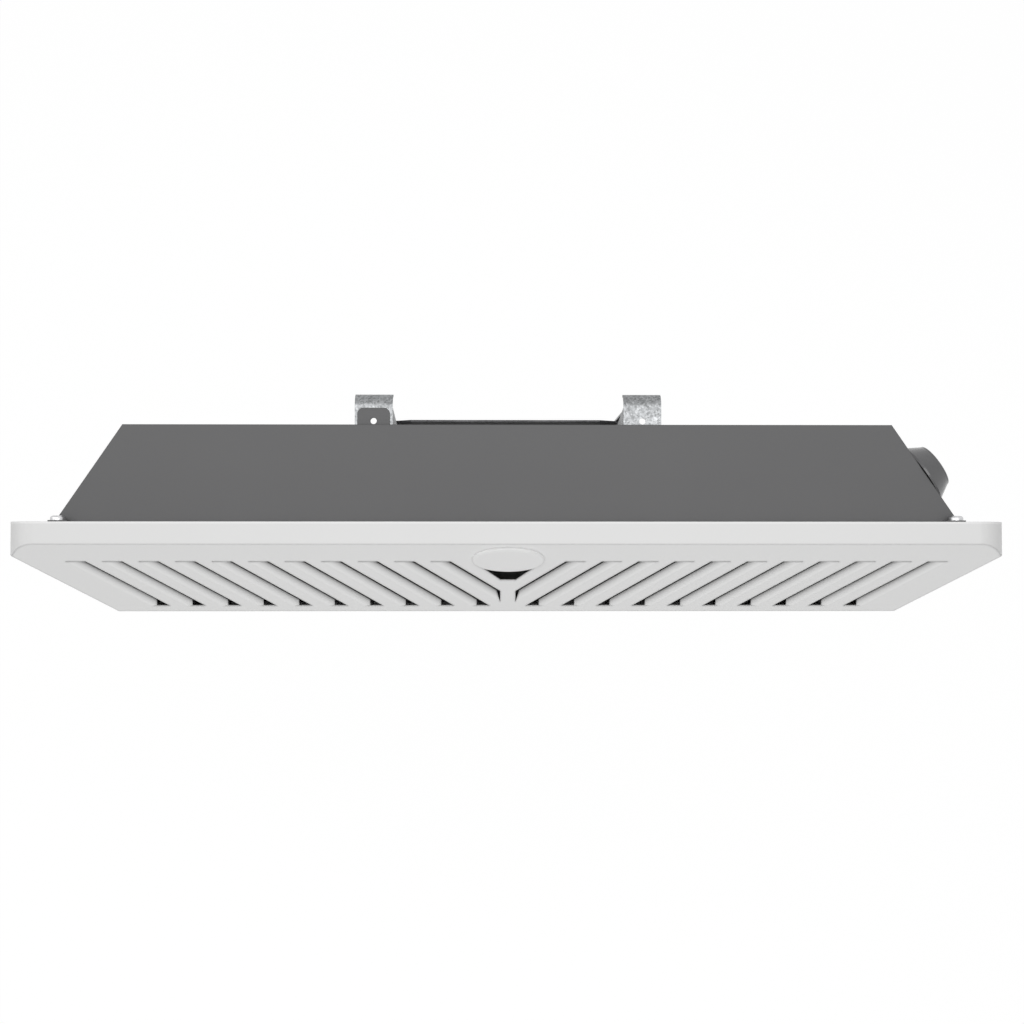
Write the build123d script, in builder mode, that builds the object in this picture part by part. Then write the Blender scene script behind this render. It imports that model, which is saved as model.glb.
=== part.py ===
"""Electric convector heater hung on a wall bracket.

Millimetres. +X is right seen from the front, the front faces -Y, +Z is up.
Y = 0 is the wall. The origin is the centre of the four wall fixing holes.
"""
from build123d import *
import os
from math import atan2, cos, hypot, radians, sin

os.makedirs("parts", exist_ok=True)

# Front panel: a shallow tray of sheet steel with four sloping facets
PANEL_W = 640.0
PANEL_H = 413.0
PANEL_R = 18.0
PANEL_T = 0.9
PANEL_TOP = 100.0
PANEL_BACK = -83.5
FLANGE_TOP = 14.5
FLANGE_SIDE = 20.5
PANEL_DEPTH = 58.0
FACET_DROP = 48.0
FACET_SIDE = 63.0
LIP_TOP = 16.0
LIP_SIDE = 30.0

# Louvres pressed into the top facet, in two mirrored fans
FAN_MARGIN = 30.0
LOUVRE_PITCH = 23.4
LOUVRE_W = 13.0
LOUVRE_FIRST = 37.0
LOUVRE_SLANT = 48.7
LOUVRE_HIGH = 16.2
LOUVRE_LOW = 59.5
LOUVRE_TURN = 40.5
LOUVRE_BEND_R = 9.0
LOUVRE_LAP = 2.6
LOUVRE_END_GAP = 0.5
TIP_CUT = 8.8
POST_HALF = 5.0
POST_CUT_W = 4.2
POST_CUT_HIGH = 40.0
POST_CUT_LOW = 55.6
VENT_HALF = 17.0
VENT_TOP = 22.0
VENT_LOW = 34.2

# Blank oval badge over the centre vent
BADGE_W = 47.0
BADGE_H = 22.0
BADGE_T = 2.0
BADGE_DOWN = 13.8

# Back housing: a folded box, narrower at the wall
HOUSING_DROP = 13.5
HOUSING_BACK = -20.5
HOUSING_INSET = 28.5
HOUSING_TAPER = 43.0
HOUSING_T = 0.9
EAR_W = 12.0
EAR_TIP = 2.0
SIDE_EAR = 12.0

# Air inlet in the housing floor
INLET_ROOM = 16.0
INLET_PITCH = 16.0
INLET_SLOT_W = 8.0
INLET_SLOT_L = 40.0

# Pan head screws and blind rivets
SCREW_D = 4.0
SCREW_CLEAR = 0.05
SCREW_HEAD_D = 9.4
SCREW_HEAD_H = 3.0
SCREW_CROSS_W = 1.1
SCREW_L = 9.0
SCREW_DROP = 7.5
SCREW_INSET = 3.5
RIVET_D = 3.2
RIVET_HEAD_D = 6.5
RIVET_HEAD_H = 1.2

# Wall bracket
TAB_X = 87.0
TAB_W = 24.5
BRACKET_T = 1.5
TAB_DROP = 16.0
TAB_REACH = 33.0
TAB_HOLE = 4.2
TAB_HOLE_Y = -18.0
BEND_R = 9.0
FIX_HALF_Z = 50.0
FIX_HOLE = 5.5
UPRIGHT_LOW = -190.0
UPRIGHT_W = 13.0
UPRIGHT_X = 90.0
GUSSET_BACK = -9.0
GUSSET_FRONT = -19.5
GUSSET_H = 62.0
STRIP_DROP = 194.0
STRIP_H = 34.0
STRIP_END = 0.5
STRIP_TAPER = 12.6
STRIP_T = 1.5
STRIP_LAP = 9.0
SLOT_SIDE = 0.5
SLOT_GAP = 0.4

# Lock plate over the left tab
LOCK_W = 21.0
LOCK_T = 0.9
LOCK_R = 4.0
LOCK_BACK = -9.5
LOCK_STEP = -38.0
LOCK_FRONT = -52.0
LOCK_GAP = 0.3

# Heating element
ELEMENT_UP = 94.5
ELEMENT_Y = -60.0
ELEMENT_LEFT_ROOM = 33.5
ELEMENT_RIGHT_ROOM = 47.0
CORE_D = 8.5
BODY_D = 15.0
WING_H = 24.0
WING_T = 2.2
FIN_PITCH = 10.0
FIN_T = 1.0
FIN_REACH = 18.0
BUSH_D = 13.0
BUSH_L = 14.0
CORE_OUT = 22.0
PIN_D = 3.0
PIN_OUT = 9.0
CARRIER_T = 1.2
CARRIER_W = 26.0
CARRIER_FOOT = 14.0

# Control compartment
PARTITION_ROOM = 36.5
PARTITION_T = 0.8
PARTITION_FOOT = 10.0
DEFLECTOR_T = 0.7
DEFLECTOR_FOOT = 10.0
DEFLECTOR_DROP = 62.0

# Thermostat and knob on the right slanted wall
KNOB_ALONG = 39.0
KNOB_DROP = 33.0
KNOB_D = 42.0
KNOB_TIP_D = 30.0
KNOB_H = 13.5
KNOB_EDGE = 1.4
KNOB_CROWN_T = 2.8
POINTER_W = 1.6
POINTER_DEEP = 1.0
KNOB_WALL = 2.0
KNOB_LIFT = 0.6
HUB_D = 12.0
HUB_LIFT = 0.8
SHAFT_COVER = 3.0
SHAFT_D = 6.0
SHAFT_FIT = 0.05
STEM_D = 9.6
STEM_CLEAR = 0.1
STEM_OUT = 5.0
NUT_D = 14.0
NUT_H = 2.4
STAT_W = 32.0
STAT_H = 34.0
STAT_D = 18.0
STAT_R = 2.0

# Rocker switch below the knob
SWITCH_DROP = 92.0
BEZEL_W = 15.0
BEZEL_H = 31.0
BEZEL_T = 1.6
BEZEL_R = 1.5
SWITCH_W = 12.8
SWITCH_H = 27.4
SWITCH_DEEP = 21.0
ROCKER_W = 9.6
ROCKER_H = 21.0
ROCKER_GAP = 0.4
ROCKER_PIN = 2.4
ROCKER_PIN_FIT = 0.05
ROCKER_PIN_IN = 0.9
ROCKER_PIVOT = -1.5
ROCKER_UP = 5.2
ROCKER_DOWN = 3.0
ROCKER_TILT = 7.0

# Supply side
GLAND_ROOM = 8.5
GLAND_Y = -55.0
GLAND_D = 16.0
GLAND_BORE = 8.0
GLAND_RIM = 3.0
GLAND_RIM_T = 4.0
GLAND_THREAD = 7.0
GLAND_NUT_RIM = 4.0
GLAND_NUT_T = 4.0
BLOCK_ROOM = 14.5
BLOCK_UP = 61.5
BLOCK_W = 22.0
BLOCK_D = 14.0
BLOCK_H = 22.0
TERMINAL_D = 4.0
TERMINAL_DEEP = 5.0
EARTH_ROOM = 20.5
EARTH_UP = 24.5
EARTH_STUD_L = 9.0
EARTH_STUD_D = 4.0
EARTH_NUT_R = 4.5
EARTH_NUT_H = 3.2
WIRE_D = 2.4
WIRE_GAP = 0.05
WIRE_HOLE_Y = -45.0
WIRE_HOLE_DROP = 170.0
WIRE_HOLE_D = 9.0

# Overheat cut-out
CUTOUT_X = 120.0
CUTOUT_UP = 85.0
CUTOUT_D = 16.0
CUTOUT_H = 8.0
BLADE_L = 7.0
BLADE_W = 4.8
BLADE_T = 0.8

# Guard behind the air inlet
GUARD_WIRE = 1.4
GUARD_ROWS = 5
GUARD_STEP = 9.0
GUARD_CROSS = 9

PANEL_BOTTOM = PANEL_TOP - PANEL_H
PANEL_MID = (PANEL_TOP + PANEL_BOTTOM) / 2
PANEL_FRONT = PANEL_BACK - PANEL_DEPTH
HOUSING_TOP = PANEL_TOP - HOUSING_DROP
HOUSING_BOTTOM = PANEL_BOTTOM + HOUSING_DROP
TAB_Z = PANEL_TOP - TAB_DROP
HOUSING_FRONT_HALF = PANEL_W / 2 - HOUSING_INSET
HOUSING_BACK_HALF = HOUSING_FRONT_HALF - HOUSING_TAPER
SCREW_X = HOUSING_FRONT_HALF - SCREW_INSET
PARTITION_X = HOUSING_BACK_HALF - PARTITION_ROOM
GLAND_X = HOUSING_BACK_HALF - GLAND_ROOM
BLOCK_X = HOUSING_BACK_HALF - BLOCK_ROOM
BLOCK_Z = HOUSING_BOTTOM + BLOCK_UP
EARTH_X = HOUSING_BACK_HALF - EARTH_ROOM
EARTH_Z = HOUSING_BOTTOM + EARTH_UP
ELEMENT_LEFT = -HOUSING_BACK_HALF + ELEMENT_LEFT_ROOM
ELEMENT_RIGHT = PARTITION_X - ELEMENT_RIGHT_ROOM
ELEMENT_Z = HOUSING_BOTTOM + ELEMENT_UP
ELEMENT_L = ELEMENT_RIGHT - ELEMENT_LEFT
CUTOUT_Z = ELEMENT_Z + CUTOUT_UP
WIRE_HOLE_Z = PANEL_TOP - WIRE_HOLE_DROP
LOUVRES = int((PANEL_W / 2 - FAN_MARGIN - LOUVRE_FIRST - LOUVRE_W) / LOUVRE_PITCH) + 1
INLET_SLOTS = int(2 * (GLAND_X - INLET_ROOM) / INLET_PITCH)
FACET_FORWARD = PANEL_DEPTH - FLANGE_TOP
SIDE_FORWARD = PANEL_DEPTH - FLANGE_SIDE
SKEW = atan2(HOUSING_FRONT_HALF - HOUSING_BACK_HALF, HOUSING_BACK - PANEL_BACK)

# Facet planes: local z points out of the panel, local y points back to the flange
top_facet = Plane(
    origin=(0, PANEL_BACK - FLANGE_TOP, PANEL_TOP),
    x_dir=(1, 0, 0),
    z_dir=(0, -FACET_DROP, FACET_FORWARD),
)
right_facet = Plane(
    origin=(PANEL_W / 2, PANEL_BACK - FLANGE_SIDE, PANEL_MID),
    x_dir=(0, 0, 1),
    z_dir=(SIDE_FORWARD, -FACET_SIDE, 0),
)
bottom_facet = Plane(
    origin=(0, PANEL_BACK - FLANGE_TOP, PANEL_BOTTOM),
    x_dir=(1, 0, 0),
    z_dir=(0, -FACET_DROP, -FACET_FORWARD),
)
left_facet = Plane(
    origin=(-PANEL_W / 2, PANEL_BACK - FLANGE_SIDE, PANEL_MID),
    x_dir=(0, 0, 1),
    z_dir=(-SIDE_FORWARD, -FACET_SIDE, 0),
)


def facing_back(y):
    """Plane parallel to the wall at depth y, seen from the front."""
    return Plane(origin=(0, y, 0), x_dir=(1, 0, 0), z_dir=(0, -1, 0))


def side_wall(along, z):
    """Plane on the right slanted wall: z out of the wall, y up, x towards the front."""
    x = HOUSING_BACK_HALF + along * sin(SKEW)
    y = HOUSING_BACK - along * cos(SKEW)
    return Plane(origin=(x, y, z), x_dir=(-sin(SKEW), cos(SKEW), 0), z_dir=(cos(SKEW), sin(SKEW), 0))


def panel_block(shrink, back):
    """Solid inside the panel's outer faces, moved in by shrink, starting at depth back."""
    with BuildPart() as block:
        with BuildSketch(facing_back(back)):
            with Locations((0, PANEL_MID)):
                RectangleRounded(PANEL_W - 2 * shrink, PANEL_H - 2 * shrink, PANEL_R - shrink)
        extrude(amount=back - PANEL_FRONT - shrink)
        for facet in (top_facet, right_facet, bottom_facet, left_facet):
            split(bisect_by=facet.offset(-shrink), keep=Keep.BOTTOM)
    return block.part


def housing_block(shrink, front):
    """Solid inside the housing's outer faces, moved in by shrink, open towards front."""
    slope = (HOUSING_FRONT_HALF - HOUSING_BACK_HALF) / (HOUSING_BACK - PANEL_BACK)
    inset = shrink / cos(SKEW)
    back = HOUSING_BACK - shrink
    back_half = HOUSING_BACK_HALF + slope * shrink - inset
    front_half = HOUSING_BACK_HALF + slope * (HOUSING_BACK - front) - inset
    with BuildPart() as block:
        with BuildSketch(Plane.XY.offset(HOUSING_BOTTOM + shrink)):
            with BuildLine():
                Polyline(
                    (-back_half, back), (back_half, back), (front_half, front), (-front_half, front),
                    close=True,
                )
            make_face()
        extrude(amount=HOUSING_TOP - HOUSING_BOTTOM - 2 * shrink)
    return block.part


# Louvre: one slat and its opening, drawn for the left half at its innermost place
slot_angle = atan2(LOUVRE_LOW - LOUVRE_HIGH, LOUVRE_SLANT)
slot_run = hypot(LOUVRE_LOW - LOUVRE_HIGH, LOUVRE_SLANT)
slat_width = LOUVRE_W * sin(slot_angle)
hinge_start = (-LOUVRE_FIRST - LOUVRE_W, -LOUVRE_HIGH)

with BuildPart() as louvre_opening:
    with BuildSketch(top_facet.offset(-2 * PANEL_T)):
        with BuildLine():
            Polyline(
                (-LOUVRE_FIRST - LOUVRE_W, -LOUVRE_HIGH),
                (-LOUVRE_FIRST, -LOUVRE_HIGH),
                (-LOUVRE_FIRST + LOUVRE_SLANT, -LOUVRE_LOW),
                (-LOUVRE_FIRST + LOUVRE_SLANT - LOUVRE_W, -LOUVRE_LOW),
                close=True,
            )
        make_face()
    extrude(amount=4 * PANEL_T)

slat_plane = Plane(
    origin=top_facet.from_local_coords((*hinge_start, 0)),
    x_dir=top_facet.from_local_coords((sin(slot_angle), cos(slot_angle), 0)) - top_facet.origin,
    z_dir=top_facet.from_local_coords((cos(slot_angle), -sin(slot_angle), 0)) - top_facet.origin,
)
reach_out = LOUVRE_BEND_R * sin(radians(LOUVRE_TURN))
depth_out = LOUVRE_BEND_R * (1 - cos(radians(LOUVRE_TURN)))
reach_in = (LOUVRE_BEND_R - PANEL_T) * sin(radians(LOUVRE_TURN))
depth_in = LOUVRE_BEND_R - (LOUVRE_BEND_R - PANEL_T) * cos(radians(LOUVRE_TURN))
inward = -1 if slat_plane.y_dir.dot(top_facet.z_dir) > 0 else 1

with BuildPart() as louvre_slat:
    with BuildSketch(slat_plane):
        with BuildLine():
            Line((0, inward * PANEL_T), (-PANEL_T, inward * PANEL_T))
            Line((-PANEL_T, inward * PANEL_T), (-PANEL_T, 0))
            Line((-PANEL_T, 0), (0, 0))
            TangentArc((0, 0), (reach_out, inward * depth_out), tangent=(1, 0))
            Line((reach_out, inward * depth_out), (reach_in, inward * depth_in))
            TangentArc((0, inward * PANEL_T), (reach_in, inward * depth_in), tangent=(1, 0))
        make_face()
    extrude(amount=slot_run + LOUVRE_W)
    # The slat starts inside its opening, ends under the lower edge and leaves the lower tip open
    with BuildSketch(top_facet.offset(-3 * slat_width)):
        with BuildLine():
            Polyline(
                (-LOUVRE_FIRST - LOUVRE_W - 2 * PANEL_T, -LOUVRE_HIGH - LOUVRE_END_GAP),
                (-LOUVRE_FIRST + LOUVRE_SLANT - TIP_CUT, -LOUVRE_HIGH - LOUVRE_END_GAP),
                (-LOUVRE_FIRST + LOUVRE_SLANT - TIP_CUT, -LOUVRE_LOW - LOUVRE_LAP),
                (-LOUVRE_FIRST - LOUVRE_W - 2 * PANEL_T, -LOUVRE_LOW - LOUVRE_LAP),
                close=True,
            )
        make_face()
    extrude(amount=4 * slat_width, mode=Mode.INTERSECT)

with BuildPart() as left_half:
    with Locations((-PANEL_W / 2 - POST_HALF, PANEL_BACK - PANEL_DEPTH / 2, PANEL_TOP)):
        Box(PANEL_W, 2 * PANEL_DEPTH, 2 * FACET_DROP)
with BuildPart() as left_openings:
    for number in range(LOUVRES):
        with Locations((-number * LOUVRE_PITCH, 0, 0)):
            add(louvre_opening.part)
    add(left_half.part, mode=Mode.INTERSECT)
with BuildPart() as left_slats:
    for number in range(LOUVRES):
        with Locations((-number * LOUVRE_PITCH, 0, 0)):
            add(louvre_slat.part)
    add(left_half.part, mode=Mode.INTERSECT)
    # The innermost slat stands clear of the post in its upper part
    with BuildSketch(top_facet.offset(-3 * slat_width)):
        with BuildLine():
            Polyline(
                (-POST_HALF, -POST_CUT_HIGH), (-POST_HALF - POST_CUT_W, -POST_CUT_HIGH),
                (-POST_HALF, -POST_CUT_LOW), close=True,
            )
        make_face()
    extrude(amount=4 * slat_width, mode=Mode.SUBTRACT)

# Front panel
with BuildPart() as front_panel:
    add(panel_block(0, PANEL_BACK))
    add(panel_block(PANEL_T, PANEL_BACK - PANEL_T), mode=Mode.SUBTRACT)
    with BuildSketch(facing_back(PANEL_BACK)):
        with Locations((0, PANEL_MID)):
            Rectangle(PANEL_W - 2 * LIP_SIDE, PANEL_H - 2 * LIP_TOP)
    extrude(amount=PANEL_T, mode=Mode.SUBTRACT)
    add(left_openings.part, mode=Mode.SUBTRACT)
    add(mirror(left_openings.part, about=Plane.YZ), mode=Mode.SUBTRACT)
    with BuildSketch(top_facet.offset(-2 * PANEL_T)):
        with BuildLine():
            Polyline(
                (-POST_HALF, -VENT_LOW), (POST_HALF, -VENT_LOW),
                (VENT_HALF, -VENT_TOP), (-VENT_HALF, -VENT_TOP), close=True,
            )
        make_face()
    extrude(amount=4 * PANEL_T, mode=Mode.SUBTRACT)
    add(left_slats.part)
    add(mirror(left_slats.part, about=Plane.YZ))
    ear_spots = [
        (side * SCREW_X, PANEL_MID + up * (PANEL_H / 2 - SCREW_DROP)) for side in (-1, 1) for up in (-1, 1)
    ]
    side_spots = [(side * (HOUSING_FRONT_HALF + SIDE_EAR / 2), PANEL_MID) for side in (-1, 1)]
    with BuildSketch(facing_back(PANEL_BACK)):
        with Locations(*ear_spots, *side_spots):
            Circle(SCREW_D / 2 + SCREW_CLEAR)
    extrude(amount=PANEL_T, mode=Mode.SUBTRACT)
front_panel.part.label = "front_panel"
export_step(front_panel.part, "parts/front_panel.step")

# Badge: a blank oval that caps the centre vent
with BuildPart() as badge:
    with BuildSketch(top_facet):
        with Locations((0, -BADGE_DOWN)):
            Ellipse(BADGE_W / 2, BADGE_H / 2)
    extrude(amount=BADGE_T)
    fillet(badge.faces().sort_by(Axis((0, 0, 0), top_facet.z_dir))[-1].edges(), BADGE_T * 0.8)
badge.part.label = "badge"
export_step(badge.part, "parts/badge.step")

# Back housing: folded sheet, open towards the panel
inlet_plane = Plane.XY.offset(HOUSING_BOTTOM)
inlet_y = (HOUSING_BACK + PANEL_BACK) / 2
slot_w = TAB_W + 2 * SLOT_SIDE
knob_seat = side_wall(KNOB_ALONG, PANEL_TOP - KNOB_DROP)
switch_seat = side_wall(KNOB_ALONG, PANEL_TOP - SWITCH_DROP)
tab_levels = (TAB_Z, UPRIGHT_LOW)
with BuildPart() as back_housing:
    add(housing_block(0, PANEL_BACK))
    add(housing_block(HOUSING_T, PANEL_BACK - 1), mode=Mode.SUBTRACT)
    # Ears that take the panel screws
    with BuildSketch(facing_back(PANEL_BACK + HOUSING_T)):
        for side in (-1, 1):
            for up in (-1, 1):
                edge = PANEL_MID + up * (PANEL_H / 2 - HOUSING_DROP - HOUSING_T)
                tip = PANEL_MID + up * (PANEL_H / 2 - EAR_TIP)
                with Locations((side * (SCREW_X - 1), (edge + tip) / 2)):
                    Rectangle(EAR_W, abs(tip - edge))
        for side in (-1, 1):
            with Locations((side * (HOUSING_FRONT_HALF + SIDE_EAR / 2 - 1), PANEL_MID)):
                Rectangle(SIDE_EAR + 2, EAR_W)
    extrude(amount=HOUSING_T)
    with BuildSketch(facing_back(PANEL_BACK + 2 * HOUSING_T)):
        with Locations(*ear_spots, *side_spots):
            Circle(SCREW_D / 2 + SCREW_CLEAR)
    extrude(amount=2 * HOUSING_T, mode=Mode.SUBTRACT)
    # Slots for the four bracket tabs
    with BuildSketch(facing_back(HOUSING_BACK + HOUSING_T)):
        for level in tab_levels:
            with Locations((-TAB_X, level - BRACKET_T / 2), (TAB_X, level - BRACKET_T / 2)):
                Rectangle(slot_w, BRACKET_T + 2 * SLOT_GAP)
        with Locations((-TAB_X, TAB_Z + (LOCK_GAP + LOCK_T) / 2)):
            Rectangle(LOCK_W + 2 * SLOT_SIDE, LOCK_GAP + LOCK_T + SLOT_GAP)
    extrude(amount=3 * HOUSING_T, mode=Mode.SUBTRACT)
    # Air inlet in the floor
    with BuildSketch(Plane.XY.offset(HOUSING_BOTTOM)):
        with Locations((0, inlet_y)):
            with GridLocations(INLET_PITCH, 0, INLET_SLOTS, 1):
                SlotOverall(INLET_SLOT_L, INLET_SLOT_W, rotation=90)
    extrude(amount=2 * HOUSING_T, mode=Mode.SUBTRACT)
    # Thermostat stem, switch and cable gland
    with BuildSketch(knob_seat):
        Circle(STEM_D / 2 + STEM_CLEAR)
    extrude(amount=-3 * HOUSING_T, mode=Mode.SUBTRACT)
    with BuildSketch(switch_seat):
        Rectangle(SWITCH_W + 0.2, SWITCH_H + 0.2)
    extrude(amount=-3 * HOUSING_T, mode=Mode.SUBTRACT)
    with BuildSketch(Plane.XY.offset(HOUSING_BOTTOM)):
        with Locations((GLAND_X, GLAND_Y)):
            Circle(GLAND_D / 2 + STEM_CLEAR)
    extrude(amount=2 * HOUSING_T, mode=Mode.SUBTRACT)
back_housing.part.label = "back_housing"
export_step(back_housing.part, "parts/back_housing.step")

# Wire guard on the inside of the air inlet
guard_half = INLET_PITCH * INLET_SLOTS / 2
guard_level = HOUSING_BOTTOM + HOUSING_T
with BuildPart() as inlet_guard:
    cross_step = 2 * guard_half / (GUARD_CROSS - 1)
    for row in range(GUARD_ROWS):
        y = inlet_y + (row - (GUARD_ROWS - 1) / 2) * GUARD_STEP
        with Locations((0, y, guard_level + 1.4 * GUARD_WIRE)):
            Box(2 * guard_half + GUARD_WIRE, GUARD_WIRE, GUARD_WIRE)
    for number in range(GUARD_CROSS):
        with Locations((-guard_half + number * cross_step, inlet_y, guard_level + GUARD_WIRE / 2)):
            Box(GUARD_WIRE, GUARD_STEP * (GUARD_ROWS - 1) + 3 * GUARD_WIRE, GUARD_WIRE)
inlet_guard.part.label = "inlet_guard"
export_step(inlet_guard.part, "parts/inlet_guard.step")

# Lock plate: welded under the housing roof, reaches out over the left tab
roof_under = HOUSING_TOP - HOUSING_T
lock_low = TAB_Z + LOCK_GAP
with BuildPart() as lock_plate:
    with BuildSketch(Plane.XY.offset(lock_low)):
        with Locations((-TAB_X, (LOCK_BACK + LOCK_STEP) / 2)):
            RectangleRounded(LOCK_W, LOCK_BACK - LOCK_STEP, LOCK_R)
        with Locations((-TAB_X, LOCK_STEP + 5)):
            Rectangle(LOCK_W, 10)
    extrude(amount=LOCK_T)
    with Locations((-TAB_X, LOCK_STEP + LOCK_T / 2, (lock_low + roof_under) / 2)):
        Box(LOCK_W, LOCK_T, roof_under - lock_low)
    with Locations((-TAB_X, (LOCK_STEP + LOCK_FRONT) / 2, roof_under - LOCK_T / 2)):
        Box(LOCK_W, LOCK_STEP - LOCK_FRONT, LOCK_T)
    with BuildSketch(Plane.XY.offset(lock_low - 1)):
        with Locations((-TAB_X, TAB_HOLE_Y)):
            Circle(TAB_HOLE / 2)
    extrude(amount=LOCK_T + 2, mode=Mode.SUBTRACT)
lock_plate.part.label = "lock_plate"
export_step(lock_plate.part, "parts/lock_plate.step")

# Panel screws, heads behind the ears
with BuildPart() as panel_screws:
    with BuildSketch(facing_back(PANEL_BACK + HOUSING_T + SCREW_HEAD_H)):
        with Locations(*ear_spots, *side_spots):
            Circle(SCREW_HEAD_D / 2)
    extrude(amount=SCREW_HEAD_H)
    head_tops = panel_screws.faces().sort_by(Axis.Y)[-len(ear_spots + side_spots):]
    fillet(head_tops.edges(), SCREW_HEAD_H * 0.6)
    with BuildSketch(facing_back(PANEL_BACK + HOUSING_T)):
        with Locations(*ear_spots, *side_spots):
            Circle(SCREW_D / 2)
    extrude(amount=SCREW_L)
    with BuildSketch(facing_back(PANEL_BACK + HOUSING_T + SCREW_HEAD_H)):
        with Locations(*ear_spots, *side_spots):
            Rectangle(SCREW_HEAD_D * 0.5, SCREW_CROSS_W)
            Rectangle(SCREW_CROSS_W, SCREW_HEAD_D * 0.5)
    extrude(amount=SCREW_HEAD_H * 0.5, mode=Mode.SUBTRACT)
panel_screws.part.label = "panel_screws"
export_step(panel_screws.part, "parts/panel_screws.step")


def upright(side):
    """One bracket upright: wall strip with a folded tab at each end and an inner gusset."""
    inner = -side
    low = UPRIGHT_LOW
    outer_r = BEND_R
    with BuildPart() as bracket:
        with BuildSketch(Plane(origin=(side * TAB_X - TAB_W / 2, 0, 0), x_dir=(0, 1, 0), z_dir=(1, 0, 0))):
            with BuildLine():
                tip = -TAB_REACH
                Line((tip, TAB_Z), (-outer_r, TAB_Z))
                RadiusArc((-outer_r, TAB_Z), (0, TAB_Z - outer_r), outer_r)
                Line((0, TAB_Z - outer_r), (0, low - BRACKET_T + outer_r))
                RadiusArc((0, low - BRACKET_T + outer_r), (-outer_r, low - BRACKET_T), outer_r)
                Line((-outer_r, low - BRACKET_T), (tip, low - BRACKET_T))
                Line((tip, low - BRACKET_T), (tip, low))
                Line((tip, low), (-outer_r, low))
                inner_r = outer_r - BRACKET_T
                RadiusArc((-outer_r, low), (-BRACKET_T, low + inner_r), -inner_r)
                Line((-BRACKET_T, low + inner_r), (-BRACKET_T, TAB_Z - outer_r))
                RadiusArc((-BRACKET_T, TAB_Z - outer_r), (-outer_r, TAB_Z - BRACKET_T), -inner_r)
                Line((-outer_r, TAB_Z - BRACKET_T), (tip, TAB_Z - BRACKET_T))
                Line((tip, TAB_Z - BRACKET_T), (tip, TAB_Z))
            make_face()
        extrude(amount=TAB_W)
        gusset_x = side * TAB_X + inner * (TAB_W / 2 - BRACKET_T / 2)
        with BuildSketch(Plane(origin=(gusset_x - BRACKET_T / 2, 0, 0), x_dir=(0, 1, 0), z_dir=(1, 0, 0))):
            with BuildLine():
                Polyline(
                    (GUSSET_BACK, TAB_Z - BRACKET_T / 2), (GUSSET_FRONT, TAB_Z - BRACKET_T / 2),
                    (GUSSET_FRONT, TAB_Z - GUSSET_H), (GUSSET_FRONT + 3, TAB_Z - GUSSET_H), close=True,
                )
            make_face()
        extrude(amount=BRACKET_T)
        with BuildSketch(facing_back(0)):
            with Locations((side * UPRIGHT_X, FIX_HALF_Z), (side * UPRIGHT_X, -FIX_HALF_Z)):
                Circle(FIX_HOLE / 2)
            with Locations((side * rivet_x, strip_z)):
                Circle(RIVET_D / 2)
        extrude(amount=BRACKET_T, mode=Mode.SUBTRACT)
        # Between its bends the wall strip is narrower than the tabs
        with BuildSketch(facing_back(0)):
            with Locations((side * TAB_X, (TAB_Z + low) / 2)):
                Rectangle(TAB_W + 2, TAB_Z - low - 2 * BEND_R - 2 * BRACKET_T)
            with Locations((side * UPRIGHT_X, (TAB_Z + low) / 2)):
                Rectangle(UPRIGHT_W, TAB_Z - low, mode=Mode.SUBTRACT)
        extrude(amount=BRACKET_T, mode=Mode.SUBTRACT)
        with BuildSketch(Plane.XY.offset(TAB_Z)):
            with Locations((side * TAB_X, TAB_HOLE_Y)):
                Circle(TAB_HOLE / 2)
        extrude(amount=-BRACKET_T, mode=Mode.SUBTRACT)
    return bracket


# Wall bracket: two uprights and a cross strip riveted to them
strip_z = PANEL_TOP - STRIP_DROP - STRIP_H / 2
strip_half = UPRIGHT_X - UPRIGHT_W / 2 + STRIP_LAP
rivet_x = strip_half - STRIP_LAP / 2
bracket_left = upright(-1)
bracket_left.part.label = "bracket_left"
export_step(bracket_left.part, "parts/bracket_left.step")
bracket_right = upright(1)
bracket_right.part.label = "bracket_right"
export_step(bracket_right.part, "parts/bracket_right.step")

rivet_spots = [(-rivet_x, strip_z), (rivet_x, strip_z)]
with BuildPart() as cross_strip:
    with BuildSketch(facing_back(-BRACKET_T)):
        with BuildLine():
            narrow = STRIP_H * STRIP_END / 2
            neck = strip_half - STRIP_LAP
            body = neck - STRIP_TAPER
            Polyline(
                (-strip_half, strip_z - narrow), (-strip_half, strip_z + narrow),
                (-neck, strip_z + narrow), (-body, strip_z + STRIP_H / 2),
                (body, strip_z + STRIP_H / 2), (neck, strip_z + narrow),
                (strip_half, strip_z + narrow), (strip_half, strip_z - narrow),
                (neck, strip_z - narrow), (body, strip_z - STRIP_H / 2),
                (-body, strip_z - STRIP_H / 2), (-neck, strip_z - narrow), close=True,
            )
        make_face()
        with Locations(*rivet_spots):
            Circle(RIVET_D / 2, mode=Mode.SUBTRACT)
    extrude(amount=STRIP_T)
cross_strip.part.label = "cross_strip"
export_step(cross_strip.part, "parts/cross_strip.step")

with BuildPart() as bracket_rivets:
    with BuildSketch(facing_back(-BRACKET_T - STRIP_T)):
        with Locations(*rivet_spots):
            Circle(RIVET_HEAD_D / 2)
    extrude(amount=RIVET_HEAD_H)
    with BuildSketch(facing_back(0)):
        with Locations(*rivet_spots):
            Circle(RIVET_D / 2)
    extrude(amount=BRACKET_T + STRIP_T)
    fillet(bracket_rivets.faces().sort_by(Axis.Y)[:len(rivet_spots)].edges(), RIVET_HEAD_H * 0.7)
bracket_rivets.part.label = "bracket_rivets"
export_step(bracket_rivets.part, "parts/bracket_rivets.step")

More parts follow.
